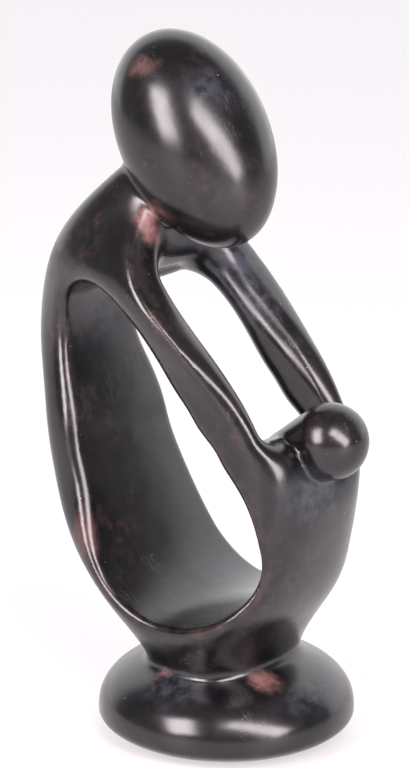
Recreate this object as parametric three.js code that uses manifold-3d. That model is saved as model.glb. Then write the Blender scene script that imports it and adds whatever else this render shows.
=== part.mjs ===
// Carved stone figure of a mother holding a child, all of one block of dark polished stone.
// Millimetres, +Z up. The figures face -Y, and the origin is the middle of the round underside.
import * as THREE from 'three';
import { mergeVertices } from 'three/addons/utils/BufferGeometryUtils.js';
import Module from 'manifold-3d';

// Foot: a bun-shaped disc that tucks under to a smaller flat resting face.
const FOOT_RADIUS = 51.5;
const FOOT_WIDEST_HEIGHT = 9;
const FOOT_REST_RADIUS = 35;
const FOOT_DOME_HEIGHT = 34;
const FOOT_DOME_POWER = 2.4;

// Body: side profile and half width, given at stations of equal height.
const STATION_START = 20;
const STATION_STEP = 20;
const BACK = [24.5, 30, 47.5, 65, 76, 79.5, 86, 91, 85.5, 74, 52.5, 27];
const FRONT = [-25, -27, -42, -47, -52, -52.5, -38.5, -17, 6, 21, 12, 17];
const HALF_WIDTH = [29.5, 37, 47.5, 43.5, 37, 37.5, 39.5, 47.5, 52, 37, 23, 13.5];
const BACK_ROUNDING = [27, 28, 28, 28, 31, 30.5, 36, 31, 29, 23, 16, 14];
const FRONT_ROUNDING = [30, 30, 30, 28, 24, 22, 15, 8, 4, 4, 9, 15];
// Share of the width that is left at the very back, where the shoulders taper to the spine.
const BACK_SHARE = [1, 1, 1, 1, 1, 1, 0.76, 0.42, 0.45, 0.72, 1, 1];
const BODY_BOTTOM = 12;
const BODY_TOP = STATION_START + STATION_STEP * (BACK.length - 1);
// The flanks are dressed flat where a section turns less than this from straight sideways.
const FLANK_TURN = Math.PI / 8;
const FLANK_START_HEIGHT = 45;
const FLANK_FULL_HEIGHT = 70;
// Above the arms the shoulders are round again.
const SHOULDER_START_HEIGHT = 165;
const SHOULDER_FULL_HEIGHT = 200;
// The outer front edges of the arms and shoulders are rounded off, across and from front to back.
const ARM_EDGE_WIDTH = 12;
const ARM_EDGE_DEPTH = 17;
const ARM_START_HEIGHT = 100;
const ARM_FULL_HEIGHT = 135;
// Towards the neck they are rounder still.
const NECK_EDGE = 22;
const NECK_START_HEIGHT = 190;
const NECK_FULL_HEIGHT = 215;
// The rounding stops at this share of the way to the widest place of a section.
const ARM_EDGE_REACH = 0.8;
// Lap: a shallow hollow in the front between the hands, where the child lies.
const LAP_DEPTH = 5;
const LAP_HALF_WIDTH = 24;
const LAP_START_HEIGHT = 98;
const LAP_FULL_HEIGHT = 120;

// Opening from side to side below the arms: radii about its centre, from +Y round by +Z.
const OPENING_CENTRE = { y: 8, z: 115 };
const OPENING_RADII = [45, 50, 88, 76, 34.5, 27, 22.5, 25.5, 30.5, 48.5, 64.5, 64, 63.5, 56.5, 45.5, 41];
// Its walls swell inwards by this much halfway through.
const OPENING_SWELL = 3;
const OPENING_HALF_LENGTH = 40;

// Gap between the arms, from the front back into the opening, with a sloping sill and ceiling.
const GAP_SILL_HALF_WIDTH = 23.5;
const GAP_CEILING_HALF_WIDTH = 18.5;
const GAP_HEIGHT = 90;
const GAP_SILL_CORNER = 4;
const GAP_CEILING_CORNER = 11;
const GAP_FRONT_Y = -95;
const GAP_SILL = { y: -37.5, z: 131, slope: -0.4 };
const GAP_CEILING = { y: 27.5, z: 186.5, slope: -0.7 };
const GAP_BACK = { z: 115, y: 8, slope: 0.35 };

// Mother's head: a plain egg that leans forward with its chin down.
const HEAD_CENTRE = { y: 15.5, z: 237 };
const HEAD_RADIUS = 28.9;
const HEAD_HALF_LENGTH = 44.6;
const HEAD_CROWN_FULLNESS = 0.03;
const HEAD_LEAN = THREE.MathUtils.degToRad(30.5);

// Child's head: a round-ended stub that rises from between the mother's hands, with a slimmer neck.
const CHILD_CENTRE = { y: -48.5, z: 127 };
const CHILD_RADIUS = 15;
const CHILD_NECK_RADIUS = 11.8;
const CHILD_LENGTH = 19;
const CHILD_TILT = THREE.MathUtils.degToRad(28.5);

// Fineness of the facets.
const BODY_SIDES = 48;
const BODY_LAYERS = 38;
const OPENING_SIDES = 72;
const OPENING_STEPS = 8;
const OPENING_END_STEPS = 4;
const GAP_CORNER_STEPS = 5;
const GAP_DEPTH_STEPS = 6;
const FOOT_SIDES = 48;
const FOOT_DOME_STEPS = 10;
const FOOT_TUCK_STEPS = 5;
const HEAD_SIDES = 32;
const HEAD_RINGS = 24;
const CHILD_SIDES = 24;
const CHILD_CAP_STEPS = 7;

const wasm = await Module();
wasm.setup();

// One span of a uniform cubic B-spline, between the second and third of four controls.
function cubicSpan([before, from, to, after], u) {
  const u2 = u * u;
  const u3 = u2 * u;
  const start = before * (1 - 3 * u + 3 * u2 - u3) + from * (4 - 6 * u2 + 3 * u3);
  const end = to * (1 + 3 * u + 3 * u2 - 3 * u3) + after * u3;
  return (start + end) / 6;
}

// B-spline that starts at the first control and stops at the last.
function openSpline(controls, t) {
  const last = controls.length - 1;
  const held = THREE.MathUtils.clamp(t, 0, last);
  const i = Math.min(Math.floor(held), last - 1);
  const before = i > 0 ? controls[i - 1] : 2 * controls[0] - controls[1];
  const after = i + 1 < last ? controls[i + 2] : 2 * controls[last] - controls[last - 1];
  return cubicSpan([before, controls[i], controls[i + 1], after], held - i);
}

// B-spline on controls that run round in a circle.
function closedSpline(controls, t) {
  const count = controls.length;
  const i = Math.floor(t);
  const near = [-1, 0, 1, 2].map((k) => controls[(i + k + count) % count]);
  return cubicSpan(near, t - i);
}

// Moves every vertex of a geometry by a function that changes its place.
function reshape(geometry, place) {
  const position = geometry.getAttribute('position');
  const point = new THREE.Vector3();
  for (let i = 0; i < position.count; i += 1) {
    place(point.fromBufferAttribute(position, i));
    position.setXYZ(i, point.x, point.y, point.z);
  }
  return geometry;
}

// A closed geometry as a solid that can be joined and cut.
function solid(geometry) {
  const bare = geometry.clone();
  bare.deleteAttribute('normal');
  bare.deleteAttribute('uv');
  const merged = mergeVertices(bare, 1e-3);
  return new wasm.Manifold(new wasm.Mesh({
    numProp: 3,
    vertProperties: merged.getAttribute('position').array,
    triVerts: new Uint32Array(merged.index.array),
  }));
}

function geometryOf(carved) {
  const mesh = carved.getMesh();
  const geometry = new THREE.BufferGeometry();
  geometry.setAttribute('position', new THREE.BufferAttribute(mesh.vertProperties, 3));
  geometry.setIndex(new THREE.BufferAttribute(mesh.triVerts, 1));
  geometry.computeVertexNormals();
  return geometry;
}

// Horizontal section of the body: a straight middle with elliptical ends, front and back.
function sectionAt(z) {
  const t = (z - STATION_START) / STATION_STEP;
  const back = openSpline(BACK, t);
  const front = openSpline(FRONT, t);
  const backRounding = openSpline(BACK_ROUNDING, t);
  const frontRounding = openSpline(FRONT_ROUNDING, t);
  const squeeze = Math.min(1, (back - front) / (backRounding + frontRounding));
  const halfWidth = openSpline(HALF_WIDTH, t);
  const shoulder = THREE.MathUtils.smoothstep(z, SHOULDER_START_HEIGHT, SHOULDER_FULL_HEIGHT);
  const dressed = THREE.MathUtils.smoothstep(z, FLANK_START_HEIGHT, FLANK_FULL_HEIGHT) * (1 - shoulder);
  return {
    back,
    front,
    narrowed: 1 - openSpline(BACK_SHARE, t),
    halfWidth,
    flank: halfWidth * (1 - dressed * (1 - Math.cos(FLANK_TURN))),
    backEnd: back - backRounding * squeeze,
    frontEnd: front + frontRounding * squeeze,
    backRounding: backRounding * squeeze,
    frontRounding: frontRounding * squeeze,
  };
}

// How far the lap is hollowed out at a place on the front.
function lapDepth(x, z) {
  const across = Math.max(1 - (x / LAP_HALF_WIDTH) ** 2, 0);
  return LAP_DEPTH * across * across * THREE.MathUtils.smoothstep(z, LAP_START_HEIGHT, LAP_FULL_HEIGHT);
}

// How far the rounded front edge of an arm falls back at a place across.
function armEdgeDepth(section, across, seam, z) {
  const neck = THREE.MathUtils.smoothstep(z, NECK_START_HEIGHT, NECK_FULL_HEIGHT);
  const width = THREE.MathUtils.lerp(ARM_EDGE_WIDTH, NECK_EDGE, neck);
  const depth = THREE.MathUtils.lerp(ARM_EDGE_DEPTH, NECK_EDGE, neck);
  const near = Math.max(Math.abs(across) - section.flank + width, 0) / width;
  const deepest = Math.min(depth, ARM_EDGE_REACH * (seam - section.frontEnd));
  const share = THREE.MathUtils.smoothstep(z, ARM_START_HEIGHT, ARM_FULL_HEIGHT);
  return deepest * share * (1 - Math.sqrt(Math.max(1 - near * near, 0)));
}

// Body: a round column whose rings are pushed out to the sections.
function bodyGeometry() {
  const height = BODY_TOP - BODY_BOTTOM;
  const column = new THREE.CylinderGeometry(1, 1, height, BODY_SIDES, BODY_LAYERS);
  column.rotateX(Math.PI / 2);
  column.translate(0, 0, BODY_BOTTOM + height / 2);
  return reshape(column, (point) => {
    const section = sectionAt(point.z);
    const seam = (section.backEnd + section.frontEnd) / 2;
    const backY = section.backEnd + section.backRounding * point.y;
    const frontY = section.frontEnd + section.frontRounding * point.y;
    const onSeam = Math.abs(point.y) < 1e-6;
    const inFront = !onSeam && point.y < 0;
    const endY = inFront ? frontY : backY;
    point.y = onSeam ? seam : endY;
    const share = (point.y - section.front) / (section.back - section.front);
    const taper = 1 - section.narrowed * share;
    const across = THREE.MathUtils.clamp(point.x * section.halfWidth, -section.flank, section.flank);
    point.x = across * taper;
    point.y += inFront ? lapDepth(point.x, point.z) : 0;
    point.y += inFront ? armEdgeDepth(section, across, seam, point.z) : 0;
  });
}

// Opening: a bar of the opening's outline along X, narrowest halfway.
function openingGeometry() {
  const outline = [];
  for (let k = 0; k < OPENING_SIDES; k += 1) {
    const angle = 2 * Math.PI * k / OPENING_SIDES;
    const radius = closedSpline(OPENING_RADII, k * OPENING_RADII.length / OPENING_SIDES);
    outline.push(new THREE.Vector2(radius * Math.cos(angle), radius * Math.sin(angle)));
  }
  const length = 2 * OPENING_HALF_LENGTH * (1 + OPENING_END_STEPS / OPENING_STEPS);
  const bar = new THREE.ExtrudeGeometry(new THREE.Shape(outline), {
    depth: length,
    steps: OPENING_STEPS + OPENING_END_STEPS,
    bevelEnabled: false,
  });
  return reshape(bar, (point) => {
    const x = point.z - length / 2;
    const across = Math.min(1, Math.abs(x) / OPENING_HALF_LENGTH);
    const swell = OPENING_SWELL * (1 - across * across);
    const shrink = 1 - swell / Math.hypot(point.x, point.y);
    const y = OPENING_CENTRE.y + point.x * shrink;
    point.set(x, y, OPENING_CENTRE.z + point.y * shrink);
  });
}

// Height of a sloping plane at a place between front and back.
function planeHeight(plane, y) {
  return plane.z + plane.slope * (y - plane.y);
}

// Gap: a round-cornered bar along Y, sheared so that its top and bottom follow the two planes.
function gapGeometry() {
  const corner = Math.PI / 2;
  const lowX = GAP_SILL_HALF_WIDTH - GAP_SILL_CORNER;
  const highX = GAP_CEILING_HALF_WIDTH - GAP_CEILING_CORNER;
  const highZ = GAP_HEIGHT - GAP_CEILING_CORNER;
  const outline = new THREE.Shape();
  outline.absarc(lowX, GAP_SILL_CORNER, GAP_SILL_CORNER, -corner, 0);
  outline.absarc(highX, highZ, GAP_CEILING_CORNER, 0, corner);
  outline.absarc(-highX, highZ, GAP_CEILING_CORNER, corner, 2 * corner);
  outline.absarc(-lowX, GAP_SILL_CORNER, GAP_SILL_CORNER, 2 * corner, 3 * corner);
  const bar = new THREE.ExtrudeGeometry(outline, {
    depth: 1,
    steps: GAP_DEPTH_STEPS,
    curveSegments: GAP_CORNER_STEPS,
    bevelEnabled: false,
  });
  return reshape(bar, (point) => {
    const up = point.y / GAP_HEIGHT;
    const middleZ = THREE.MathUtils.lerp(GAP_SILL.z, GAP_CEILING.z, up);
    const backY = GAP_BACK.y + GAP_BACK.slope * (middleZ - GAP_BACK.z);
    const y = THREE.MathUtils.lerp(backY, GAP_FRONT_Y, point.z);
    const z = THREE.MathUtils.lerp(planeHeight(GAP_SILL, y), planeHeight(GAP_CEILING, y), up);
    point.set(point.x, y, z);
  });
}

// Foot: the bun's outline turned about the upright axis.
function footGeometry() {
  const outline = [new THREE.Vector2(0, 0)];
  const restShare = FOOT_REST_RADIUS / FOOT_RADIUS;
  for (let k = 0; k < FOOT_TUCK_STEPS; k += 1) {
    const angle = Math.acos(restShare) * (1 - k / FOOT_TUCK_STEPS);
    const drop = Math.sin(angle) / Math.sqrt(1 - restShare * restShare);
    outline.push(new THREE.Vector2(FOOT_RADIUS * Math.cos(angle), FOOT_WIDEST_HEIGHT * (1 - drop)));
  }
  for (let k = 0; k < FOOT_DOME_STEPS; k += 1) {
    const angle = Math.PI / 2 * k / FOOT_DOME_STEPS;
    const out = Math.cos(angle) ** (2 / FOOT_DOME_POWER);
    const up = Math.sin(angle) ** (2 / FOOT_DOME_POWER);
    const z = THREE.MathUtils.lerp(FOOT_WIDEST_HEIGHT, FOOT_DOME_HEIGHT, up);
    outline.push(new THREE.Vector2(FOOT_RADIUS * out, z));
  }
  outline.push(new THREE.Vector2(0, FOOT_DOME_HEIGHT));
  return new THREE.LatheGeometry(outline, FOOT_SIDES).rotateX(Math.PI / 2);
}

function headGeometry() {
  const egg = new THREE.SphereGeometry(1, HEAD_SIDES, HEAD_RINGS).rotateX(Math.PI / 2);
  reshape(egg, (point) => {
    const radius = HEAD_RADIUS * (1 + HEAD_CROWN_FULLNESS * point.z);
    point.set(point.x * radius, point.y * radius, point.z * HEAD_HALF_LENGTH);
  });
  return egg.rotateX(-HEAD_LEAN).translate(0, HEAD_CENTRE.y, HEAD_CENTRE.z);
}

function childGeometry() {
  const stub = new THREE.CapsuleGeometry(CHILD_RADIUS, CHILD_LENGTH, CHILD_CAP_STEPS, CHILD_SIDES);
  stub.translate(0, -CHILD_LENGTH / 2, 0);
  reshape(stub, (point) => {
    const back = THREE.MathUtils.clamp(-point.y / CHILD_LENGTH, 0, 1);
    const slim = THREE.MathUtils.lerp(1, CHILD_NECK_RADIUS / CHILD_RADIUS, back);
    point.set(point.x * slim, point.y, point.z * slim);
  });
  stub.rotateX(Math.PI - CHILD_TILT);
  return stub.translate(0, CHILD_CENTRE.y, CHILD_CENTRE.z);
}

function sculpture() {
  const carved = solid(bodyGeometry())
    .subtract(solid(openingGeometry()))
    .subtract(solid(gapGeometry()))
    .add(solid(headGeometry()))
    .add(solid(childGeometry()))
    .add(solid(footGeometry()));
  const stone = new THREE.MeshStandardMaterial({ color: 0x1d1a1b, roughness: 0.16, metalness: 0 });
  const mesh = new THREE.Mesh(geometryOf(carved), stone);
  mesh.name = 'sculpture';
  return mesh;
}

const figure = new THREE.Group();
figure.add(sculpture());
export default figure;
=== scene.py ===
import logging
import math
from dataclasses import dataclass, field
from enum import Enum

import bpy
import numpy as np
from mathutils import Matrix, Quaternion, Vector


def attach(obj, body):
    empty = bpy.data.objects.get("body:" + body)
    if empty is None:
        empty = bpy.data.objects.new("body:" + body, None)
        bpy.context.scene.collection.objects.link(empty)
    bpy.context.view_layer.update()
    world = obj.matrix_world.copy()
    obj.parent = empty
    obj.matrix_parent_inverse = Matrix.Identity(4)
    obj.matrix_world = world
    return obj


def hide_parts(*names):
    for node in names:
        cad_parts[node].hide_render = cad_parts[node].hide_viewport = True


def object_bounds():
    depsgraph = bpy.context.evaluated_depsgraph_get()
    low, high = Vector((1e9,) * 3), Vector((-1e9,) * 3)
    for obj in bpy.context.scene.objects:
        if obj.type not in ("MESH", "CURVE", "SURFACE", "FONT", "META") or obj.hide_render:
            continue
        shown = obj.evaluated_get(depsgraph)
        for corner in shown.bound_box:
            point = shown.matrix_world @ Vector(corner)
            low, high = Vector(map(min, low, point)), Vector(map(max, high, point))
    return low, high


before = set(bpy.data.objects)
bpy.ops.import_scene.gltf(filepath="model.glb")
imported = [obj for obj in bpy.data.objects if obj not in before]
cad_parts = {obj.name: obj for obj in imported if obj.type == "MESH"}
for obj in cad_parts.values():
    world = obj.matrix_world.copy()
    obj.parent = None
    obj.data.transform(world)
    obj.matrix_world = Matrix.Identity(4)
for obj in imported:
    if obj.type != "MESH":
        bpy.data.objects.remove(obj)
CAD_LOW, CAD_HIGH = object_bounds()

MM = 0.001
LOG = logging.getLogger("stone_figure")


# Blending of shapes. A distance is negative inside the stone, in millimetres.


def rounded_cut(a: np.ndarray, b: np.ndarray, radius: float) -> np.ndarray:
    """Keep what is inside both shapes, with an edge polished round.

    Args:
        a: Distance to the first shape.
        b: Distance to the second shape.
        radius: Radius of the edge between them.

    Returns:
        Distance to the shape that both share.
    """
    corner = np.hypot(np.maximum(radius + a, 0.0), np.maximum(radius + b, 0.0))
    return np.minimum(np.maximum(a, b), -radius) + corner


def soft_join(a: np.ndarray, b: np.ndarray, reach: float) -> np.ndarray:
    """Join two shapes, with the crease between them filled softly.

    Args:
        a: Distance to the first shape.
        b: Distance to the second shape.
        reach: How far from the crease the filling starts.

    Returns:
        Distance to the joined shape.
    """
    near = np.maximum(reach - np.abs(a - b), 0.0) / reach
    return np.minimum(a, b) - near**3 * reach / 6.0


def eased_cut(a: np.ndarray, b: np.ndarray, reach: float) -> np.ndarray:
    """Keep what is inside both shapes, with only the very edge between them eased.

    Args:
        a: Distance to the first shape.
        b: Distance to the second shape.
        reach: How far from the edge the easing starts.

    Returns:
        Distance to the shape that both share.
    """
    return -soft_join(-a, -b, reach)


def ramp(low: float, high: float, value: np.ndarray) -> np.ndarray:
    """Rise smoothly from 0 at low to 1 at high."""
    share = np.clip((value - low) / (high - low), 0.0, 1.0)
    return share * share * (3.0 - 2.0 * share)


def spline(controls: tuple[float, ...], t: np.ndarray, closed: bool) -> tuple[np.ndarray, np.ndarray]:
    """Evaluate a uniform cubic B-spline.

    Args:
        controls: Control values, one for each station.
        t: Places along it, counted in stations.
        closed: Whether the stations run round in a circle.

    Returns:
        The values and their slopes per station.
    """
    values = np.asarray(controls)
    count = len(values)
    if closed:
        start = np.floor(t).astype(int)
        near = [values[(start + k) % count] for k in (-1, 0, 1, 2)]
    else:
        t = np.clip(t, 0.0, count - 1.0)
        start = np.minimum(np.floor(t).astype(int), count - 2)
        ends = 2.0 * values[0] - values[1], 2.0 * values[-1] - values[-2]
        held = np.concatenate([ends[:1], values, ends[1:]])
        near = [held[start + k] for k in (0, 1, 2, 3)]
    u = t - start
    value = near[0] * (1 - 3 * u + 3 * u**2 - u**3) + near[1] * (4 - 6 * u**2 + 3 * u**3)
    value = value + near[2] * (1 + 3 * u + 3 * u**2 - 3 * u**3) + near[3] * u**3
    slope = near[0] * (-3 + 6 * u - 3 * u**2) + near[1] * (-12 * u + 9 * u**2)
    slope = slope + near[2] * (3 + 6 * u - 9 * u**2) + near[3] * 3 * u**2
    return value / 6.0, slope / 6.0


# The carved forms, all in millimetres with +Z up and the figures facing -Y.


@dataclass(frozen=True)
class Body:
    """Ring-shaped body: horizontal sections with elliptical ends and flanks dressed flat."""

    start: float = 20.0
    step: float = 20.0
    bottom: float = 12.0
    back: tuple[float, ...] = (24.5, 30, 47.5, 65, 76, 79.5, 86, 91, 85.5, 74, 52.5, 27)
    front: tuple[float, ...] = (-25, -27, -42, -47, -52, -52.5, -38.5, -17, 6, 21, 12, 17)
    half_width: tuple[float, ...] = (29.5, 37, 47.5, 43.5, 37, 37.5, 39.5, 47.5, 52, 37, 23, 13.5)
    back_rounding: tuple[float, ...] = (27, 28, 28, 28, 31, 30.5, 36, 31, 29, 23, 16, 14)
    front_rounding: tuple[float, ...] = (30, 30, 30, 28, 24, 22, 15, 8, 4, 4, 9, 15)
    back_share: tuple[float, ...] = (1, 1, 1, 1, 1, 1, 0.76, 0.42, 0.45, 0.72, 1, 1)
    flank_turn: float = math.pi / 8
    flank_start_height: float = 45.0
    flank_full_height: float = 70.0
    shoulder_start_height: float = 165.0
    shoulder_full_height: float = 200.0
    flank_edge: float = 7.0
    arm_edge: float = 12.0
    arm_start_height: float = 100.0
    arm_full_height: float = 135.0
    neck_edge: float = 22.0
    neck_start_height: float = 190.0
    neck_full_height: float = 215.0
    lap_depth: float = 5.0
    lap_half_width: float = 24.0
    lap_start_height: float = 98.0
    lap_full_height: float = 120.0
    top_edge: float = 6.0
    crest_reach: float = 9.0

    def _line(self, controls: tuple[float, ...], z: np.ndarray) -> tuple[np.ndarray, np.ndarray]:
        """Read one profile and its slope per millimetre at the given heights."""
        value, slope = spline(controls, (z - self.start) / self.step, closed=False)
        return value, slope / self.step

    def distance(self, x: np.ndarray, y: np.ndarray, z: np.ndarray) -> np.ndarray:
        """Measure the body before anything is cut out of it.

        Args:
            x: Places across.
            y: Places from front to back.
            z: Heights.

        Returns:
            Distance to the body.
        """
        back, back_slope = self._line(self.back, z)
        front, front_slope = self._line(self.front, z)
        lap = self.lap_depth * ramp(self.lap_start_height, self.lap_full_height, z)
        front = front + lap * np.maximum(1.0 - (x / self.lap_half_width) ** 2, 0.0) ** 2
        half, half_slope = self._line(self.half_width, z)
        back_end = self._line(self.back_rounding, z)[0]
        front_end = self._line(self.front_rounding, z)[0]
        squeeze = np.minimum(1.0, 0.999 * (back - front) / (back_end + front_end))
        narrowed = 1.0 - self._line(self.back_share, z)[0]
        half = half * (1.0 - narrowed * np.clip((y - front) / (back - front), 0.0, 1.0))
        behind = (y - back + back_end * squeeze) / (back_end * squeeze)
        before = (front + front_end * squeeze - y) / (front_end * squeeze)
        at_back = behind > before
        along = np.maximum(np.maximum(behind, before), 0.0)
        depth = np.where(at_back, back_end, front_end) * squeeze
        slope = np.where(at_back, back_slope, -front_slope)
        across = x / half
        size = np.hypot(across, along) + 1e-9
        fall_x = across / half / size
        fall_y = along / depth / size
        fall_z = across**2 * half_slope / half / size + fall_y * slope
        fall = np.sqrt(fall_x**2 + fall_y**2 + fall_z**2)
        fall = np.maximum(fall, 0.6 / np.maximum(half, depth))
        shell = (size - 1.0) / fall
        shell = np.maximum(shell, (y - back) / np.hypot(1.0, back_slope))
        shell = np.maximum(shell, (front - y) / np.hypot(1.0, front_slope))
        dressed = ramp(self.flank_start_height, self.flank_full_height, z)
        dressed = dressed * (1.0 - ramp(self.shoulder_start_height, self.shoulder_full_height, z))
        flank = half * (1.0 - dressed * (1.0 - math.cos(self.flank_turn)))
        shell = rounded_cut(shell, np.abs(x) - flank, self.flank_edge)
        arm_share = ramp(self.arm_start_height, self.arm_full_height, z)
        neck_share = ramp(self.neck_start_height, self.neck_full_height, z)
        round_edge = self.flank_edge + (self.arm_edge - self.flank_edge) * arm_share
        round_edge = round_edge + (self.neck_edge - self.arm_edge) * neck_share
        face = (front - y) / np.hypot(1.0, front_slope)
        face = rounded_cut(face, np.abs(x) - flank, round_edge)
        shell = eased_cut(shell, face, self.crest_reach)
        top = self.start + self.step * (len(self.back) - 1)
        shell = rounded_cut(shell, z - top, self.top_edge)
        return np.maximum(shell, self.bottom - z)


@dataclass(frozen=True)
class SideOpening:
    """Opening from side to side below the arms, whose walls swell inwards halfway through."""

    centre_y: float = 8.0
    centre_z: float = 115.0
    radii: tuple[float, ...] = (45, 50, 88, 76, 34.5, 27, 22.5, 25.5, 30.5, 48.5, 64.5, 64, 63.5, 56.5, 45.5, 41)
    swell: float = 3.0
    half_length: float = 40.0
    sharp_edge: float = 3.5
    soft_edge: float = 6.0
    sharp_edge_height: float = 55.0
    soft_edge_height: float = 125.0

    def edge(self, z: np.ndarray) -> np.ndarray:
        """Give the radius of the polished rim, larger towards the top."""
        share = ramp(self.sharp_edge_height, self.soft_edge_height, z)
        return self.sharp_edge + share * (self.soft_edge - self.sharp_edge)

    def distance(self, x: np.ndarray, y: np.ndarray, z: np.ndarray) -> np.ndarray:
        """Measure the hollow of the opening; the arguments are as for Body.distance."""
        out_y = y - self.centre_y
        out_z = z - self.centre_z
        turn = 2.0 * math.pi / len(self.radii)
        t = (np.arctan2(out_z, out_y) % (2.0 * math.pi)) / turn
        radius, slope = spline(self.radii, t, closed=True)
        lean = slope / turn / np.maximum(radius, 5.0)
        hollow = (np.hypot(out_y, out_z) - radius) / np.hypot(1.0, lean)
        across = np.clip(x / self.half_length, -1.0, 1.0)
        return hollow + self.swell * (1.0 - across**2)


@dataclass(frozen=True)
class SlopingPlane:
    """A plane that slopes from front to back: a place on it and its rise per millimetre."""

    y: float
    z: float
    slope: float

    def above(self, y: np.ndarray, z: np.ndarray) -> np.ndarray:
        """Measure how far above the plane a place is."""
        return (z - self.z - self.slope * (y - self.y)) / math.hypot(1.0, self.slope)


@dataclass(frozen=True)
class ArmGap:
    """Gap between the arms, from the front back into the side opening."""

    sill_half_width: float = 23.5
    ceiling_half_width: float = 18.5
    sill_corner: float = 4.0
    ceiling_corner: float = 11.0
    sill: SlopingPlane = SlopingPlane(y=-37.5, z=131.0, slope=-0.4)
    ceiling: SlopingPlane = SlopingPlane(y=27.5, z=186.5, slope=-0.7)
    back: SlopingPlane = SlopingPlane(y=8.0, z=115.0, slope=1.0 / 0.35)
    edge: float = 11.0

    def distance(self, x: np.ndarray, y: np.ndarray, z: np.ndarray) -> np.ndarray:
        """Measure the hollow of the gap; the arguments are as for Body.distance."""
        low = -self.sill.above(y, z)
        high = self.ceiling.above(y, z)
        up = np.clip(low / (low + high - 1e-9), 0.0, 1.0)
        half = self.sill_half_width + (self.ceiling_half_width - self.sill_half_width) * up
        corner = self.sill_corner + (self.ceiling_corner - self.sill_corner) * up
        slot = rounded_cut(np.abs(x) - half, np.maximum(low, high), corner)
        return np.maximum(slot, -self.back.above(y, z))


@dataclass(frozen=True)
class MotherHead:
    """Mother's head: a plain egg that leans forward with its chin down."""

    centre_y: float = 15.5
    centre_z: float = 237.0
    radius: float = 28.9
    half_length: float = 44.6
    crown_fullness: float = 0.03
    lean: float = math.radians(30.5)
    crease: float = 4.0

    def distance(self, x: np.ndarray, y: np.ndarray, z: np.ndarray) -> np.ndarray:
        """Measure the head; the arguments are as for Body.distance."""
        out_y = y - self.centre_y
        out_z = z - self.centre_z
        along = out_y * math.sin(self.lean) + out_z * math.cos(self.lean)
        before = out_y * math.cos(self.lean) - out_z * math.sin(self.lean)
        share = along / self.half_length
        radius = self.radius * (1.0 + self.crown_fullness * np.clip(share, -1.2, 1.2))
        size = np.sqrt((x / radius) ** 2 + (before / radius) ** 2 + share**2)
        fall = np.sqrt(x**2 / radius**4 + before**2 / radius**4 + (share / self.half_length) ** 2)
        return (size - 1.0) * size / np.maximum(fall, 1e-6)


@dataclass(frozen=True)
class ChildHead:
    """Child's head: a round-ended stub that rises from between the mother's hands."""

    centre_y: float = -48.5
    centre_z: float = 127.0
    radius: float = 15.0
    neck_radius: float = 11.8
    length: float = 19.0
    tilt: float = math.radians(28.5)
    crease: float = 1.5

    def distance(self, x: np.ndarray, y: np.ndarray, z: np.ndarray) -> np.ndarray:
        """Measure the stub; the arguments are as for Body.distance."""
        out_y = y - self.centre_y
        out_z = z - self.centre_z
        along = out_z * math.sin(self.tilt) - out_y * math.cos(self.tilt)
        beside = out_y * math.sin(self.tilt) + out_z * math.cos(self.tilt)
        held = np.clip(along, -self.length, 0.0)
        radius = self.radius + (self.neck_radius - self.radius) * -held / self.length
        return np.sqrt(x**2 + beside**2 + (along - held) ** 2) - radius


@dataclass(frozen=True)
class Foot:
    """Foot: a bun-shaped disc that tucks under to a smaller flat resting face."""

    radius: float = 51.5
    widest_height: float = 9.0
    rest_radius: float = 35.0
    dome_height: float = 34.0
    dome_power: float = 2.4
    crease: float = 7.0
    rest_edge: float = 1.0

    def distance(self, x: np.ndarray, y: np.ndarray, z: np.ndarray) -> np.ndarray:
        """Measure the foot; the arguments are as for Body.distance."""
        out = np.hypot(x, y) / self.radius + 1e-9
        rise = self.dome_height - self.widest_height
        tuck = self.widest_height / math.sqrt(1.0 - (self.rest_radius / self.radius) ** 2)
        over = z > self.widest_height
        power = np.where(over, self.dome_power, 2.0)
        reach = np.where(over, rise, tuck)
        up = np.abs(z - self.widest_height) / reach
        size = (out**power + up**power) ** (1.0 / power)
        scale = size ** (1.0 - power)
        fall_out = scale * out ** (power - 1.0) / self.radius
        fall_up = scale * up ** (power - 1.0) / reach
        bun = (size - 1.0) / np.maximum(np.hypot(fall_out, fall_up), 0.01)
        return rounded_cut(bun, -z, self.rest_edge)


# Surface of the stone.


@dataclass(frozen=True)
class Net:
    """A surface in facets: corners in millimetres and rings of four."""

    corners: np.ndarray
    quads: np.ndarray


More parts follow.
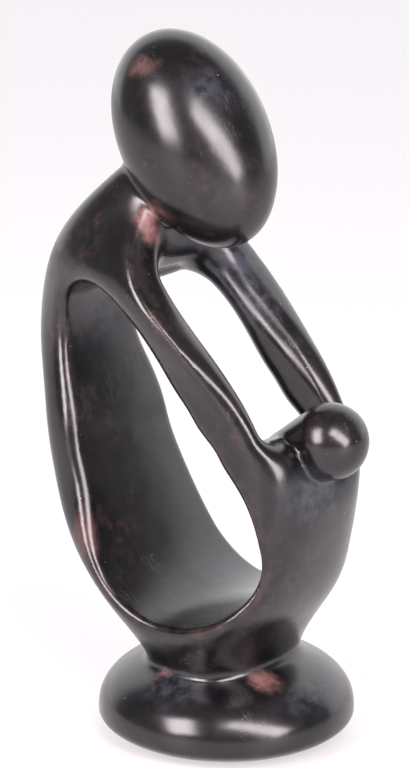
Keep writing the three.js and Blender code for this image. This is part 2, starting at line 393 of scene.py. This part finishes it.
@dataclass
class Sculpture:
    """The whole carving, one block of stone: mother, child and foot."""

    name: str = "polished_stone_figure"
    cell: float = 1.3
    polish_steps: int = 4
    body: Body = field(default_factory=Body)
    opening: SideOpening = field(default_factory=SideOpening)
    gap: ArmGap = field(default_factory=ArmGap)
    mother: MotherHead = field(default_factory=MotherHead)
    child: ChildHead = field(default_factory=ChildHead)
    foot: Foot = field(default_factory=Foot)

    def distance(self, points: np.ndarray) -> np.ndarray:
        """Measure the carving.

        Args:
            points: Places in millimetres, one row each.

        Returns:
            Distance to the stone's surface, negative inside.
        """
        x, y, z = points.T
        ring = rounded_cut(
            self.body.distance(x, y, z), -self.opening.distance(x, y, z), self.opening.edge(z)
        )
        ring = rounded_cut(ring, -self.gap.distance(x, y, z), self.gap.edge)
        stone = soft_join(ring, self.child.distance(x, y, z), self.child.crease)
        stone = soft_join(stone, self.mother.distance(x, y, z), self.mother.crease)
        return soft_join(stone, self.foot.distance(x, y, z), self.foot.crease)

    def fall(self, points: np.ndarray, step: float) -> np.ndarray:
        """Work out how the distance grows along X, Y and Z at each place."""
        sides = []
        for axis in range(3):
            shift = np.zeros(3)
            shift[axis] = step
            ahead = self.distance(points + shift)
            sides.append((ahead - self.distance(points - shift)) / (2.0 * step))
        return np.stack(sides, axis=1)

    def net(self, low: np.ndarray, high: np.ndarray) -> Net:
        """Wrap the stone in a net of even quads.

        Args:
            low: Lowest corner of the box to look in.
            high: Its highest corner.

        Returns:
            The net, its corners drawn onto the true surface.
        """
        start = low - 3.3 * self.cell
        shape = np.ceil((high - low) / self.cell).astype(int) + 8
        axes = [start[k] + self.cell * np.arange(shape[k]) for k in range(3)]
        values = np.empty(shape)
        side_y, side_z = np.meshgrid(axes[1], axes[2], indexing="ij")
        for i, x in enumerate(axes[0]):
            layer = np.stack([np.full(side_y.size, x), side_y.ravel(), side_z.ravel()], axis=1)
            values[i] = self.distance(layer).reshape(side_y.shape)
        inside = values < 0.0
        cells = tuple(shape - 1)
        total = np.zeros(cells + (3,))
        count = np.zeros(cells)
        corners = [np.array([i, j, k]) for i in (0, 1) for j in (0, 1) for k in (0, 1)]
        for a in corners:
            for b in corners:
                if (b - a).sum() != 1 or (b < a).any():
                    continue
                first = self._shifted(values, a, cells)
                second = self._shifted(values, b, cells)
                crossed = (first < 0.0) != (second < 0.0)
                share = np.where(crossed, first / np.where(crossed, first - second, 1.0), 0.0)
                place = a + share[..., None] * (b - a)
                total += np.where(crossed[..., None], place, 0.0)
                count += crossed
        used = count > 0
        index = np.full(cells, -1)
        index[used] = np.arange(used.sum())
        place = np.argwhere(used) + total[used] / count[used][:, None]
        points = start + self.cell * place
        quads = np.concatenate([self._walls(inside, index, axis) for axis in range(3)])
        for _ in range(self.polish_steps):
            fall = self.fall(points, 0.05)
            steep = np.maximum((fall**2).sum(axis=1), 0.05)
            move = self.distance(points) / steep
            points = points - np.clip(move, -1.0, 1.0)[:, None] * fall
        return Net(points, quads)

    @staticmethod
    def _shifted(values: np.ndarray, corner: np.ndarray, cells: tuple[int, ...]) -> np.ndarray:
        """Cut out the values at one corner of every cell."""
        i, j, k = corner
        return values[i : i + cells[0], j : j + cells[1], k : k + cells[2]]

    @staticmethod
    def _walls(inside: np.ndarray, index: np.ndarray, axis: int) -> np.ndarray:
        """Find the quads across which the grid's lines along one axis leave the stone.

        Args:
            inside: Which grid points are in the stone.
            index: Number of the net's corner in each cell.
            axis: Which axis the lines follow.

        Returns:
            Rows of four corner numbers, with their faces outwards.
        """
        order = [axis, (axis + 1) % 3, (axis + 2) % 3]
        turned = inside.transpose(order)
        numbers = index.transpose(order)
        near, far = turned[:-1, 1:-1, 1:-1], turned[1:, 1:-1, 1:-1]
        leaving = np.argwhere(near & ~far)
        entering = np.argwhere(~near & far)
        rings = []
        for places, ways in ((leaving, (0, 1, 2, 3)), (entering, (3, 2, 1, 0))):
            i, j, k = places.T
            ring = [numbers[i, j, k], numbers[i, j + 1, k], numbers[i, j + 1, k + 1], numbers[i, j, k + 1]]
            rings.append(np.stack([ring[w] for w in ways], axis=1))
        return np.concatenate(rings)

    def edge_share(self, points: np.ndarray) -> np.ndarray:
        """Tell how sharply the stone is rounded outwards at each place.

        Args:
            points: Places on the surface.

        Returns:
            0 on broad faces, towards 1 on the polished edges.
        """
        reach = 1.2
        middle = self.distance(points)
        around = np.zeros(len(points))
        for axis in range(3):
            shift = np.zeros(3)
            shift[axis] = reach
            around += self.distance(points + shift) + self.distance(points - shift) - 2.0 * middle
        return np.clip((around / reach**2 - 0.08) / 0.25, 0.0, 1.0)

    def build(self) -> bpy.types.Object:
        """Make the stone as one mesh object.

        Returns:
            The object, with an attribute that marks its edges.
        """
        low = np.array(CAD_LOW) / MM
        high = np.array(CAD_HIGH) / MM
        net = self.net(low, high)
        mesh = bpy.data.meshes.new(self.name)
        mesh.vertices.add(len(net.corners))
        mesh.vertices.foreach_set("co", (net.corners * MM).astype(np.float32).ravel())
        mesh.loops.add(net.quads.size)
        mesh.loops.foreach_set("vertex_index", net.quads.astype(np.int32).ravel())
        mesh.polygons.add(len(net.quads))
        mesh.polygons.foreach_set("loop_start", np.arange(0, net.quads.size, 4, dtype=np.int32))
        mesh.polygons.foreach_set("use_smooth", np.ones(len(net.quads), dtype=bool))
        edge = mesh.attributes.new("edge_share", "FLOAT", "POINT")
        edge.data.foreach_set("value", self.edge_share(net.corners).astype(np.float32))
        mesh.update(calc_edges=True)
        mesh.validate()
        piece = bpy.data.objects.new(self.name, mesh)
        bpy.context.scene.collection.objects.link(piece)
        LOG.info("%s: %d corners, %d quads", self.name, len(net.corners), len(net.quads))
        return piece


@dataclass(frozen=True)
class HandFinish:
    """Low waves that hand sanding leaves in a polished face, made by geometry nodes."""

    wave_length: float = 17.0
    wave_height: float = 0.12
    flat_height: float = 1.0
    full_height: float = 6.0
    seed: int = 7

    def tree(self, finish: bpy.types.Material) -> bpy.types.GeometryNodeTree:
        """Build the node tree.

        Args:
            finish: Material of the finished stone; not used here.

        Returns:
            The tree, with inputs for the length and height of the waves and the seed.
        """
        tree = bpy.data.node_groups.new("hand_finish", "GeometryNodeTree")
        face = tree.interface
        face.new_socket("Stone", in_out="INPUT", socket_type="NodeSocketGeometry")
        for name in ("Wave Length", "Wave Height", "Flat Below", "Full Above"):
            face.new_socket(name, in_out="INPUT", socket_type="NodeSocketFloat")
        face.new_socket("Seed", in_out="INPUT", socket_type="NodeSocketInt")
        face.new_socket("Finish", in_out="INPUT", socket_type="NodeSocketMaterial")
        face.new_socket("Stone", in_out="OUTPUT", socket_type="NodeSocketGeometry")
        nodes, link = tree.nodes, tree.links.new
        given = nodes.new("NodeGroupInput")
        result = nodes.new("NodeGroupOutput")
        place = nodes.new("GeometryNodeInputPosition")
        normal = nodes.new("GeometryNodeInputNormal")
        fineness = nodes.new("ShaderNodeMath")
        fineness.operation = "DIVIDE"
        fineness.inputs[0].default_value = 1.0
        link(given.outputs["Wave Length"], fineness.inputs[1])
        waves = nodes.new("ShaderNodeTexNoise")
        waves.noise_dimensions = "4D"
        waves.inputs["Detail"].default_value = 1.0
        link(place.outputs["Position"], waves.inputs["Vector"])
        link(fineness.outputs[0], waves.inputs["Scale"])
        link(given.outputs["Seed"], waves.inputs["W"])
        centred = nodes.new("ShaderNodeMath")
        centred.operation = "SUBTRACT"
        centred.inputs[1].default_value = 0.5
        link(waves.outputs["Fac"], centred.inputs[0])
        height = nodes.new("ShaderNodeSeparateXYZ")
        link(place.outputs["Position"], height.inputs[0])
        above = nodes.new("ShaderNodeMapRange")
        link(height.outputs["Z"], above.inputs["Value"])
        link(given.outputs["Flat Below"], above.inputs["From Min"])
        link(given.outputs["Full Above"], above.inputs["From Max"])
        lift = nodes.new("ShaderNodeMath")
        lift.operation = "MULTIPLY"
        link(centred.outputs[0], lift.inputs[0])
        link(given.outputs["Wave Height"], lift.inputs[1])
        held = nodes.new("ShaderNodeMath")
        held.operation = "MULTIPLY"
        link(lift.outputs[0], held.inputs[0])
        link(above.outputs["Result"], held.inputs[1])
        offset = nodes.new("ShaderNodeVectorMath")
        offset.operation = "SCALE"
        link(normal.outputs["Normal"], offset.inputs[0])
        link(held.outputs[0], offset.inputs["Scale"])
        moved = nodes.new("GeometryNodeSetPosition")
        link(given.outputs["Stone"], moved.inputs["Geometry"])
        link(offset.outputs[0], moved.inputs["Offset"])
        real = nodes.new("GeometryNodeRealizeInstances")
        link(moved.outputs["Geometry"], real.inputs["Geometry"])
        dressed = nodes.new("GeometryNodeSetMaterial")
        link(real.outputs["Geometry"], dressed.inputs["Geometry"])
        link(given.outputs["Finish"], dressed.inputs["Material"])
        link(dressed.outputs["Geometry"], result.inputs["Stone"])
        return tree

    def apply(self, piece: bpy.types.Object, finish: bpy.types.Material) -> None:
        """Work the waves into a piece and leave it as a plain mesh.

        Args:
            piece: The piece to finish.
            finish: Its material.
        """
        tree = self.tree(finish)
        worked = piece.modifiers.new("hand_finish", "NODES")
        worked.node_group = tree
        sizes = {
            "Wave Length": self.wave_length * MM,
            "Wave Height": 2.0 * self.wave_height * MM,
            "Flat Below": self.flat_height * MM,
            "Full Above": self.full_height * MM,
            "Seed": self.seed,
            "Finish": finish,
        }
        for socket in tree.interface.items_tree:
            if socket.in_out == "INPUT" and socket.name in sizes:
                worked[socket.identifier] = sizes[socket.name]
        graph = bpy.context.evaluated_depsgraph_get()
        made = bpy.data.meshes.new_from_object(
            piece.evaluated_get(graph), preserve_all_data_layers=True, depsgraph=graph
        )
        made.name = piece.name
        piece.modifiers.remove(worked)
        old = piece.data
        piece.data = made
        bpy.data.meshes.remove(old)
        LOG.info("%s: hand finish, waves of %.2f mm", piece.name, self.wave_height)


# Finish of the stone.


class WearAndSheen(Enum):
    """What handling and time left on a part of the stone, and the sheen painted on some of it."""

    RED = "dye worn down to the reddish stone"
    # Wax bloom, and in some patches painted sheen: a lighter bluish grey that stands in for a reflection.
    BLOOM = "bluish grey bloom of old wax"


@dataclass(frozen=True)
class Patch:
    """One patch of wear or of painted sheen: its middle and reach in millimetres, and how strong it is."""

    wear: WearAndSheen
    middle: tuple[float, float, float]
    reach: tuple[float, float, float]
    strength: float


# Patches of wear and of painted sheen; the bloom patch on the floor of the side opening is painted sheen.
WORN_AND_SHEEN_PLACES = (
    Patch(WearAndSheen.RED, (-20.5, 25.0, 266.0), (5.0, 7.0, 4.5), 0.4),
    Patch(WearAndSheen.RED, (-22.0, 20.0, 206.0), (5.0, 7.0, 8.0), 0.95),
    Patch(WearAndSheen.RED, (-18.5, 19.0, 201.0), (5.0, 5.0, 5.0), 0.6),
    Patch(WearAndSheen.RED, (-14.5, -29.0, 30.0), (6.0, 7.0, 5.0), 0.9),
    Patch(WearAndSheen.RED, (-32.5, 6.0, 30.0), (3.0, 3.0, 3.0), 0.5),
    Patch(WearAndSheen.RED, (-27.0, 0.0, 169.0), (4.0, 12.0, 12.0), 0.16),
    Patch(WearAndSheen.RED, (-37.0, 42.0, 82.0), (5.0, 8.0, 12.0), 0.35),
    Patch(WearAndSheen.BLOOM, (24.0, 12.0, 185.0), (10.0, 13.0, 14.0), 0.75),
    Patch(WearAndSheen.BLOOM, (23.0, 3.0, 173.0), (8.0, 12.0, 12.0), 0.6),
    # Painted sheen: a lighter bluish grey on the floor of the side opening that stands in for a reflection.
    Patch(WearAndSheen.BLOOM, (21.0, 17.0, 57.0), (16.0, 15.0, 9.0), 0.7),
    Patch(WearAndSheen.BLOOM, (8.0, 21.0, 194.0), (14.0, 8.0, 8.0), 0.4),
    Patch(WearAndSheen.BLOOM, (-13.0, 0.0, 259.0), (9.0, 9.0, 9.0), 0.45),
    Patch(WearAndSheen.BLOOM, (-36.0, -2.0, 27.0), (14.0, 14.0, 6.0), 0.5),
    Patch(WearAndSheen.BLOOM, (0.0, -43.0, 24.0), (22.0, 10.0, 7.0), 0.5),
    Patch(WearAndSheen.BLOOM, (-8.0, -49.0, 109.0), (22.0, 10.0, 12.0), 0.5),
    Patch(WearAndSheen.BLOOM, (0.0, 59.0, 165.0), (26.0, 12.0, 20.0), 0.35),
)


class Shader:
    """Short names for the nodes of one material."""

    def __init__(self, material: bpy.types.Material) -> None:
        """Start an empty tree, with places on the piece in millimetres."""
        material.use_nodes = True
        self.nodes = material.node_tree.nodes
        self.links = material.node_tree.links
        self.nodes.clear()
        here = self.nodes.new("ShaderNodeTexCoord")
        scale = self.nodes.new("ShaderNodeVectorMath")
        scale.operation = "SCALE"
        scale.inputs["Scale"].default_value = 1.0 / MM
        self.links.new(here.outputs["Object"], scale.inputs[0])
        self.place = scale.outputs[0]

    def put(self, socket: bpy.types.NodeSocket, value: object) -> None:
        """Give an input either a link or a plain value."""
        if isinstance(value, bpy.types.NodeSocket):
            self.links.new(value, socket)
        else:
            socket.default_value = value

    def math(self, kind: str, a: object, b: object = 0.0) -> bpy.types.NodeSocket:
        """Join two numbers by one step of arithmetic."""
        node = self.nodes.new("ShaderNodeMath")
        node.operation = kind
        self.put(node.inputs[0], a)
        self.put(node.inputs[1], b)
        return node.outputs[0]

    def vector(self, kind: str, a: object, b: object) -> bpy.types.NodeSocket:
        """Join two vectors by one step of arithmetic."""
        node = self.nodes.new("ShaderNodeVectorMath")
        node.operation = kind
        self.put(node.inputs[0], a)
        self.put(node.inputs[1], b)
        return node.outputs["Value" if kind in ("LENGTH", "DOT_PRODUCT") else "Vector"]

    def noise(self, size: float, detail: float, place: object = None) -> bpy.types.NodeSocket:
        """Make a cloudy pattern from 0 to 1 whose clouds are about size millimetres apart."""
        node = self.nodes.new("ShaderNodeTexNoise")
        self.put(node.inputs["Vector"], self.place if place is None else place)
        node.inputs["Scale"].default_value = 1.0 / size
        node.inputs["Detail"].default_value = detail
        return node.outputs["Fac"]

    def ramp(self, value: object, low: float, high: float, to_low: float = 0.0,
             to_high: float = 1.0) -> bpy.types.NodeSocket:
        """Map low..high smoothly to to_low..to_high and hold beyond."""
        node = self.nodes.new("ShaderNodeMapRange")
        node.interpolation_type = "SMOOTHSTEP"
        self.put(node.inputs["Value"], value)
        node.inputs["From Min"].default_value = low
        node.inputs["From Max"].default_value = high
        node.inputs["To Min"].default_value = to_low
        node.inputs["To Max"].default_value = to_high
        return node.outputs["Result"]

    def blend(self, share: object, a: object, b: object) -> bpy.types.NodeSocket:
        """Mix two colours, all a at 0 and all b at 1."""
        node = self.nodes.new("ShaderNodeMix")
        node.data_type = "RGBA"
        self.put(node.inputs["Factor"], share)
        self.put(node.inputs[6], a)
        self.put(node.inputs[7], b)
        return node.outputs[2]

    def stretched(self, turn: tuple[float, float, float],
                  size: tuple[float, float, float]) -> bpy.types.NodeSocket:
        """Turn the places and divide them by a size along each axis."""
        node = self.nodes.new("ShaderNodeMapping")
        self.put(node.inputs["Vector"], self.place)
        node.inputs["Rotation"].default_value = turn
        node.inputs["Scale"].default_value = tuple(1.0 / s for s in size)
        return node.outputs["Vector"]


@dataclass(frozen=True)
class PolishedStone:
    """Black-dyed soft stone, waxed and polished, with its wear and some painted sheen."""

    name: str = "polished_black_stone"
    deep: tuple[float, float, float, float] = (0.0025, 0.0023, 0.003, 1.0)
    cloud: tuple[float, float, float, float] = (0.007, 0.006, 0.007, 1.0)
    brown: tuple[float, float, float, float] = (0.034, 0.018, 0.016, 1.0)
    red: tuple[float, float, float, float] = (0.21, 0.1, 0.095, 1.0)
    # Bluish grey of wax bloom, also used as the colour of painted sheen.
    bloom_and_sheen: tuple[float, float, float, float] = (0.06, 0.065, 0.085, 1.0)
    speck: tuple[float, float, float, float] = (0.42, 0.38, 0.37, 1.0)
    gloss_roughness: float = 0.22
    worn_roughness: float = 0.34
    relief: float = 0.08

    def worn(self, shader: Shader, wear: WearAndSheen) -> bpy.types.NodeSocket:
        """Mark where one kind of wear is; the bloom kind also holds the patches of painted sheen.

        Args:
            shader: The material's nodes.
            wear: Which kind of wear, the bloom kind with its painted sheen.

        Returns:
            0 on sound polish, towards 1 in the middle of a patch.
        """
        drift = shader.nodes.new("ShaderNodeTexNoise")
        shader.put(drift.inputs["Vector"], shader.place)
        drift.inputs["Scale"].default_value = 1.0 / 7.0
        drift.inputs["Detail"].default_value = 5.0
        away = shader.vector("SUBTRACT", drift.outputs["Color"], (0.5, 0.5, 0.5))
        away = shader.vector("MULTIPLY", away, (9.0, 9.0, 9.0))
        place = shader.vector("ADD", shader.place, away)
        marked: bpy.types.NodeSocket | None = None
        for patch in WORN_AND_SHEEN_PLACES:
            if patch.wear is not wear:
                continue
            out = shader.vector("SUBTRACT", place, patch.middle)
            out = shader.vector("DIVIDE", out, patch.reach)
            share = shader.ramp(shader.vector("LENGTH", out, (0.0, 0.0, 0.0)), 1.4, 0.1)
            share = shader.math("MULTIPLY", share, patch.strength)
            marked = share if marked is None else shader.math("MAXIMUM", marked, share)
        return marked

    def flecks(self, shader: Shader, size: float, radius: float, share: float) -> bpy.types.NodeSocket:
        """Scatter small round flecks.

        Args:
            shader: The material's nodes.
            size: Distance between the places that may hold one, in millimetres.
            radius: Radius of a fleck as a share of that distance.
            share: How many of the places hold one.

        Returns:
            1 in a fleck, 0 beside it.
        """
        cells = shader.nodes.new("ShaderNodeTexVoronoi")
        shader.put(cells.inputs["Vector"], shader.place)
        cells.inputs["Scale"].default_value = 1.0 / size
        near = shader.ramp(cells.outputs["Distance"], radius, 0.4 * radius)
        pick = shader.nodes.new("ShaderNodeSeparateColor")
        shader.put(pick.inputs[0], cells.outputs["Color"])
        chosen = shader.math("LESS_THAN", pick.outputs["Red"], share)
        uneven = shader.ramp(pick.outputs["Green"], 0.0, 1.0, 0.25, 1.0)
        return shader.math("MULTIPLY", shader.math("MULTIPLY", near, chosen), uneven)

    def scratches(self, shader: Shader) -> bpy.types.NodeSocket:
        """Lay fine hairline scratches in three directions.

        Args:
            shader: The material's nodes.

        Returns:
            1 in a scratch, 0 beside it.
        """
        turns = ((0.4, 0.2, 0.9), (1.3, 0.7, 0.1), (0.1, 1.2, 2.1))
        total: bpy.types.NodeSocket | None = None
        for turn in turns:
            place = shader.stretched(turn, (0.9, 14.0, 14.0))
            line = shader.nodes.new("ShaderNodeTexNoise")
            shader.put(line.inputs["Vector"], place)
            line.inputs["Scale"].default_value = 1.0
            line.inputs["Detail"].default_value = 1.0
            off = shader.math("ABSOLUTE", shader.math("SUBTRACT", line.outputs["Fac"], 0.5))
            thin = shader.ramp(off, 0.006, 0.0)
            total = thin if total is None else shader.math("MAXIMUM", total, thin)
        where = shader.ramp(shader.noise(16.0, 3.0), 0.5, 0.72)
        return shader.math("MULTIPLY", total, where)

    def build(self) -> bpy.types.Material:
        """Make the material.

        Returns:
            The finished material.
        """
        material = bpy.data.materials.new(self.name)
        shader = Shader(material)
        clouds = shader.ramp(shader.noise(26.0, 6.0), 0.38, 0.68)
        mottle = shader.ramp(shader.noise(4.0, 6.0), 0.42, 0.7)
        grain = shader.ramp(shader.noise(0.7, 4.0), 0.35, 0.75)
        colour = shader.blend(clouds, self.deep, self.cloud)
        veins = shader.math("MULTIPLY", mottle, shader.ramp(shader.noise(38.0, 3.0), 0.48, 0.66))
        colour = shader.blend(shader.math("MULTIPLY", veins, 0.55), colour, self.brown)
        edge = shader.nodes.new("ShaderNodeAttribute")
        edge.attribute_name = "edge_share"
        rubbed = shader.ramp(shader.noise(9.0, 5.0), 0.46, 0.66)
        rubbed = shader.math("MULTIPLY", rubbed, edge.outputs["Fac"])
        colour = shader.blend(shader.math("MULTIPLY", rubbed, 0.7), colour, self.brown)
        # Wax bloom and painted sheen: a lighter bluish grey mixed into the colour.
        bloom_and_sheen = self.worn(shader, WearAndSheen.BLOOM)
        bloom_and_sheen = shader.math("MULTIPLY", bloom_and_sheen, shader.ramp(shader.noise(5.0, 7.0), 0.36, 0.64, 0.15))
        colour = shader.blend(bloom_and_sheen, colour, self.bloom_and_sheen)
        red = self.worn(shader, WearAndSheen.RED)
        broken = shader.ramp(shader.noise(2.5, 6.0), 0.3, 0.6, 0.55)
        red = shader.math("MULTIPLY", red, broken)
        colour = shader.blend(red, colour, self.red)
        specks = self.flecks(shader, 3.4, 0.085, 0.16)
        dust = self.flecks(shader, 1.3, 0.14, 0.07)
        specks = shader.math("MAXIMUM", specks, shader.math("MULTIPLY", dust, 0.5))
        colour = shader.blend(shader.math("MULTIPLY", specks, 0.8), colour, self.speck)
        lines = self.scratches(shader)
        colour = shader.blend(shader.math("MULTIPLY", lines, 0.12), colour, self.speck)
        dull = shader.math("MAXIMUM", shader.math("MULTIPLY", bloom_and_sheen, 0.9), red)
        dull = shader.math("MAXIMUM", dull, shader.math("MULTIPLY", lines, 0.6))
        smear = shader.ramp(shader.noise(12.0, 5.0), 0.4, 0.7, 0.0, 0.06)
        rough = shader.ramp(dull, 0.0, 1.0, self.gloss_roughness, self.worn_roughness)
        rough = shader.math("ADD", rough, smear)
        pits = self.flecks(shader, 5.5, 0.075, 0.22)
        height = shader.math("MULTIPLY", grain, 0.02)
        height = shader.math("SUBTRACT", height, shader.math("MULTIPLY", pits, 0.9))
        height = shader.math("SUBTRACT", height, shader.math("MULTIPLY", lines, 0.12))
        height = shader.math("SUBTRACT", height, shader.math("MULTIPLY", red, 0.25))
        bump = shader.nodes.new("ShaderNodeBump")
        bump.inputs["Strength"].default_value = 0.6
        bump.inputs["Distance"].default_value = self.relief * MM
        shader.put(bump.inputs["Height"], height)
        surface = shader.nodes.new("ShaderNodeBsdfPrincipled")
        shader.put(surface.inputs["Base Color"], colour)
        shader.put(surface.inputs["Roughness"], rough)
        shader.put(surface.inputs["Normal"], bump.outputs["Normal"])
        surface.inputs["IOR"].default_value = 1.55
        output = shader.nodes.new("ShaderNodeOutputMaterial")
        shader.put(output.inputs["Surface"], surface.outputs["BSDF"])
        LOG.info("%s: %d worn places", self.name, len(WORN_AND_SHEEN_PLACES))
        return material


# Studio: floor, lights and camera.


@dataclass(frozen=True)
class Floor:
    """Wide pale table that the figure stands on."""

    half_width: float = 9.0
    drop: float = 0.0001
    colour: tuple[float, float, float, float] = (0.35, 0.345, 0.35, 1.0)
    roughness: float = 0.6
    glow_colour: tuple[float, float, float, float] = (1.0, 0.955, 0.99, 1.0)
    glow: float = 0.56
    glow_in_polish: float = 0.6

    def build(self) -> bpy.types.Object:
        """Make the floor; it is not attached to the figure.

        Returns:
            The floor.
        """
        half = self.half_width
        corners = [(-half, -half), (half, -half), (half, half), (-half, half)]
        mesh = bpy.data.meshes.new("studio_floor")
        mesh.from_pydata([(x, y, -self.drop) for x, y in corners], [], [(0, 1, 2, 3)])
        floor = bpy.data.objects.new("studio_floor", mesh)
        bpy.context.scene.collection.objects.link(floor)
        material = bpy.data.materials.new("pale_table")
        shader = Shader(material)
        surface = shader.nodes.new("ShaderNodeBsdfPrincipled")
        surface.inputs["Base Color"].default_value = self.colour
        surface.inputs["Roughness"].default_value = self.roughness
        surface.inputs["Emission Color"].default_value = self.glow_colour
        seen = shader.nodes.new("ShaderNodeLightPath")
        glow = shader.ramp(seen.outputs["Is Camera Ray"], 0.0, 1.0, self.glow_in_polish, self.glow)
        shader.put(surface.inputs["Emission Strength"], glow)
        output = shader.nodes.new("ShaderNodeOutputMaterial")
        shader.put(output.inputs["Surface"], surface.outputs["BSDF"])
        mesh.materials.append(material)
        LOG.info("studio_floor: %.0f m wide", 2.0 * half)
        return floor


@dataclass(frozen=True)
class SoftBox:
    """One soft light, placed by its direction from the figure."""

    name: str
    azimuth: float
    elevation: float
    distance: float
    width: float
    height: float
    power: float
    roll: float = 0.0
    aim_height: float = 0.15
    colour: tuple[float, float, float] = (1.0, 0.91, 0.94)

    def build(self) -> bpy.types.Object:
        """Make the light.

        Returns:
            The light, facing the figure.
        """
        data = bpy.data.lights.new(self.name, "AREA")
        data.shape = "RECTANGLE"
        data.size = self.width
        data.size_y = self.height
        data.energy = self.power
        data.color = self.colour
        light = bpy.data.objects.new(self.name, data)
        bpy.context.scene.collection.objects.link(light)
        out = direction(self.azimuth, self.elevation)
        light.location = Vector((0.0, 0.0, self.aim_height)) + out * self.distance
        turn = Quaternion((0.0, 0.0, 1.0), math.radians(self.roll))
        light.rotation_euler = (out.to_track_quat("Z", "Y") @ turn).to_euler()
        return light


def direction(azimuth: float, elevation: float) -> Vector:
    """Point from the figure to where a viewer or light stands.

    Args:
        azimuth: Degrees round from straight in front, towards the figure's right.
        elevation: Degrees above the horizon.

    Returns:
        A vector one metre long.
    """
    a = math.radians(azimuth)
    e = math.radians(elevation)
    return Vector((math.sin(a) * math.cos(e), -math.cos(a) * math.cos(e), math.sin(e)))


@dataclass(frozen=True)
class Studio:
    """Soft lights, pale surroundings and the camera."""

    azimuth: float = -53.0
    elevation: float = 14.2
    distance: float = 0.909
    target: tuple[float, float, float] = (0.0015, 0.0122, 0.140)
    focal_pixels: float = 2308.0
    image_height: float = 768.0
    sensor: float = 36.0
    pale_share: float = 1.65
    dark_share: float = 0.22
    dark_azimuth: float = -60.0
    dark_elevation: float = 10.0
    pale_limit: float = -0.47
    dark_limit: float = -0.28

    def lights(self) -> None:
        """Place the soft boxes whose reflections the polish shows."""
        boxes = (
            SoftBox("soft_box_front", -23.0, 25.0, 1.3, 0.46, 1.5, 34.0, roll=42.0),
            SoftBox("soft_box_side", -98.0, 26.0, 2.4, 0.95, 1.6, 82.0, roll=20.0),
        )
        for box in boxes:
            box.build()
            LOG.info("%s: %.0f W", box.name, box.power)

    def surroundings(self) -> None:
        """Make the room: pale behind the figure and darker behind the camera."""
        world = bpy.data.worlds.new("pale_room")
        bpy.context.scene.world = world
        world.use_nodes = True
        nodes, link = world.node_tree.nodes, world.node_tree.links.new
        nodes.clear()
        here = nodes.new("ShaderNodeTexCoord")
        facing = nodes.new("ShaderNodeVectorMath")
        facing.operation = "DOT_PRODUCT"
        facing.inputs[1].default_value = direction(self.dark_azimuth, self.dark_elevation)
        link(here.outputs["Generated"], facing.inputs[0])
        share = nodes.new("ShaderNodeMapRange")
        share.interpolation_type = "SMOOTHSTEP"
        share.inputs["From Min"].default_value = self.pale_limit
        share.inputs["From Max"].default_value = self.dark_limit
        share.inputs["To Min"].default_value = self.pale_share
        share.inputs["To Max"].default_value = self.dark_share
        link(facing.outputs["Value"], share.inputs["Value"])
        seen = nodes.new("ShaderNodeLightPath")
        pale = nodes.new("ShaderNodeMix")
        pale.data_type = "FLOAT"
        link(seen.outputs["Is Camera Ray"], pale.inputs[0])
        link(share.outputs["Result"], pale.inputs[2])
        pale.inputs[3].default_value = 0.95
        back = nodes.new("ShaderNodeBackground")
        back.inputs["Color"].default_value = (1.0, 0.985, 1.0, 1.0)
        link(pale.outputs[0], back.inputs["Strength"])
        output = nodes.new("ShaderNodeOutputWorld")
        link(back.outputs[0], output.inputs["Surface"])

    def camera(self) -> None:
        """Set the camera at the photograph's angle, with nothing out of focus."""
        data = bpy.data.cameras.new("camera")
        data.sensor_width = self.sensor
        data.lens = self.focal_pixels / self.image_height * self.sensor
        data.clip_start = 0.01
        data.clip_end = 50.0
        camera = bpy.data.objects.new("camera", data)
        bpy.context.scene.collection.objects.link(camera)
        out = direction(self.azimuth, self.elevation)
        camera.location = Vector(self.target) + out * self.distance
        camera.rotation_euler = out.to_track_quat("Z", "Y").to_euler()
        bpy.context.scene.camera = camera
        LOG.info("camera: %.0f mm lens", data.lens)

    def build(self) -> None:
        """Set up lights, surroundings and camera."""
        self.lights()
        self.surroundings()
        self.camera()
        bpy.context.scene.view_settings.view_transform = "Standard"


def main() -> None:
    """Build the figure, its finish and the studio in order."""
    logging.basicConfig(level=logging.INFO, format="%(name)s: %(message)s")
    finish = PolishedStone().build()
    sculpture = Sculpture(cell=1.3)
    piece = sculpture.build()
    HandFinish().apply(piece, finish)
    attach(piece, "root")
    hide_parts("sculpture")
    Floor().build()
    Studio().build()


if __name__ == "__main__":
    main()
